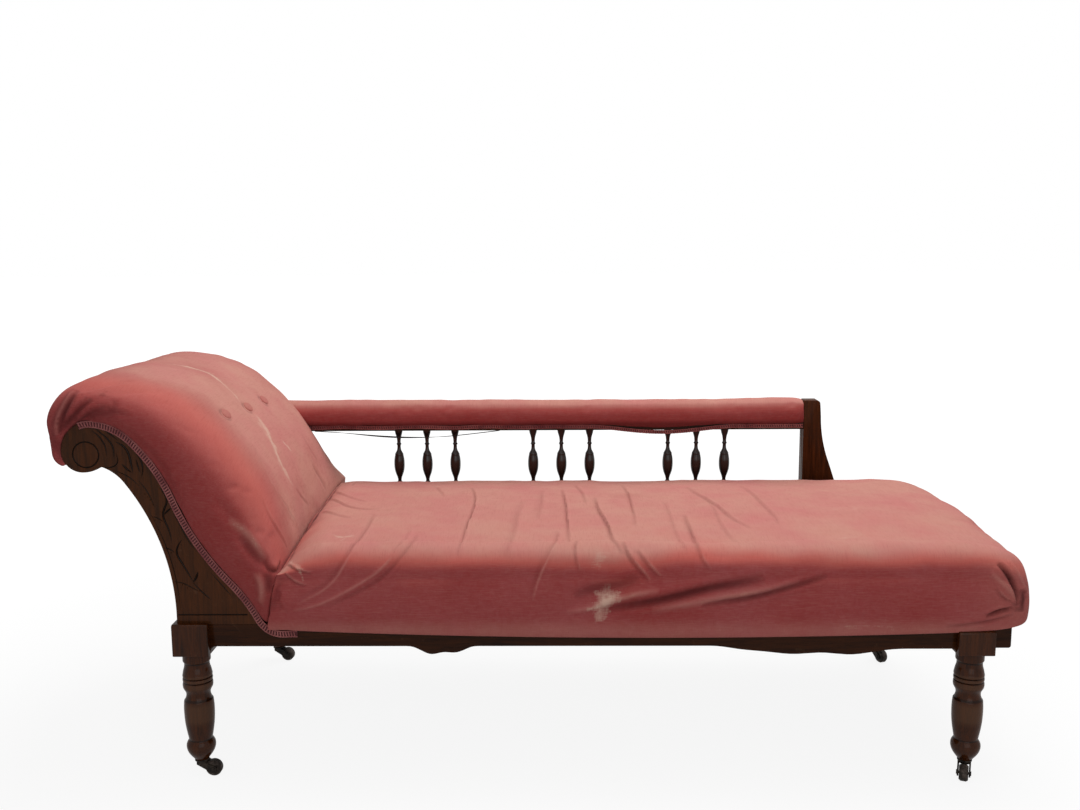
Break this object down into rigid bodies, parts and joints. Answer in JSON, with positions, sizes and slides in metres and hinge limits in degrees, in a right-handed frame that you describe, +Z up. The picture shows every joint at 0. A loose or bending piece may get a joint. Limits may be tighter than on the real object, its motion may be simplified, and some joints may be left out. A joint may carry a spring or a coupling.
{
  "type": "fainting couch",
  "caption": "Scroll-ended fainting couch with a buttoned velvet headrest, long sprung seat, turned spindle gallery along the back and turned legs on swivel castors.",
  "frame": {"origin": "on the floor under the middle of the couch's length and of its frame's depth", "axes": "+X towards the foot end, +Y towards the spindle gallery at the back, +Z up"},
  "size_m": [1.7418, 0.6385, 0.7393],
  "materials": {
    "mahogany": "dark polished mahogany, worn at the edges",
    "dark_mahogany": "turned, almost black polish",
    "beech": "unfinished hidden frame wood",
    "velvet": "faded dusty pink velvet",
    "braid": "woven gimp braid",
    "lining": "black lining cloth",
    "hessian": "plain hessian",
    "jute_web": "woven jute webbing",
    "spring_steel": "coppered spring wire",
    "castor_iron": "blackened metal",
    "castor_wheel": "worn dark wheel"
  },
  "bodies": {
    "couch": {"arm_end_post": "mahogany", "arm_gimp_back": "braid", "arm_gimp_front": "braid", "arm_lining_strip": "lining", "arm_pad": "velvet", "arm_rail": "mahogany", "back_seat_rail": "mahogany", "bottom_lining": "lining", "castor_plate_back_left": "castor_iron", "castor_plate_back_right": "castor_iron", "castor_plate_front_left": "castor_iron", "castor_plate_front_right": "castor_iron", "foot_end_rail": "mahogany", "front_seat_rail": "mahogany", "gallery_lower_rail": "mahogany", "head_buttons": "velvet", "head_end_rail": "mahogany", "head_gimp": "braid", "head_hessian": "hessian", "head_lumbar_rail": "beech", "head_outside_back": "velvet", "head_pad": "velvet", "head_panel_back": "mahogany", "head_panel_front": "mahogany", "head_roll_rail": "beech", "leg_back_left": "mahogany", "leg_back_right": "mahogany", "leg_front_left": "mahogany", "leg_front_right": "mahogany", "seat_pad": "velvet", "seat_springs": "spring_steel", "seat_webbing": "jute_web", "spindle_1": "dark_mahogany", "spindle_2": "dark_mahogany", "spindle_3": "dark_mahogany", "spindle_4": "dark_mahogany", "spindle_5": "dark_mahogany", "spindle_6": "dark_mahogany", "spindle_7": "dark_mahogany", "spindle_8": "dark_mahogany", "spindle_9": "dark_mahogany", "spring_hessian": "hessian"},
    "swivel_front_left": {"castor_horn_front_left": "castor_iron", "castor_axle_front_left": "castor_iron"},
    "wheel_front_left": {"castor_wheel_front_left": "castor_wheel"},
    "swivel_front_right": {"castor_horn_front_right": "castor_iron", "castor_axle_front_right": "castor_iron"},
    "wheel_front_right": {"castor_wheel_front_right": "castor_wheel"},
    "swivel_back_left": {"castor_horn_back_left": "castor_iron", "castor_axle_back_left": "castor_iron"},
    "wheel_back_left": {"castor_wheel_back_left": "castor_wheel"},
    "swivel_back_right": {"castor_horn_back_right": "castor_iron", "castor_axle_back_right": "castor_iron"},
    "wheel_back_right": {"castor_wheel_back_right": "castor_wheel"}
  },
  "joints": [
    {"name": "castor_swivel_front_left", "type": "hinge", "parent": "couch", "child": "swivel_front_left", "pos_m": [-0.6275, -0.2825, 0.03], "axis": [0, 0, 1], "continuous": true},
    {"name": "wheel_roll_front_left", "type": "hinge", "parent": "swivel_front_left", "child": "wheel_front_left", "pos_m": [-0.6055, -0.2825, 0.015], "axis": [0, 1, 0], "continuous": true},
    {"name": "castor_swivel_front_right", "type": "hinge", "parent": "couch", "child": "swivel_front_right", "pos_m": [0.7745, -0.2825, 0.03], "axis": [0, 0, 1], "continuous": true},
    {"name": "wheel_roll_front_right", "type": "hinge", "parent": "swivel_front_right", "child": "wheel_front_right", "pos_m": [0.76626, -0.3029, 0.015], "axis": [0.9272, -0.3746, 0], "continuous": true},
    {"name": "castor_swivel_back_left", "type": "hinge", "parent": "couch", "child": "swivel_back_left", "pos_m": [-0.6275, 0.2825, 0.03], "axis": [0, 0, 1], "continuous": true},
    {"name": "wheel_roll_back_left", "type": "hinge", "parent": "swivel_back_left", "child": "wheel_back_left", "pos_m": [-0.60571, 0.27944, 0.015], "axis": [0.1392, 0.9903, 0], "continuous": true},
    {"name": "castor_swivel_back_right", "type": "hinge", "parent": "couch", "child": "swivel_back_right", "pos_m": [0.7745, 0.2825, 0.03], "axis": [0, 0, 1], "continuous": true},
    {"name": "wheel_roll_back_right", "type": "hinge", "parent": "swivel_back_right", "child": "wheel_back_right", "pos_m": [0.78202, 0.26183, 0.015], "axis": [0.9397, 0.342, 0], "continuous": true}
  ]
}
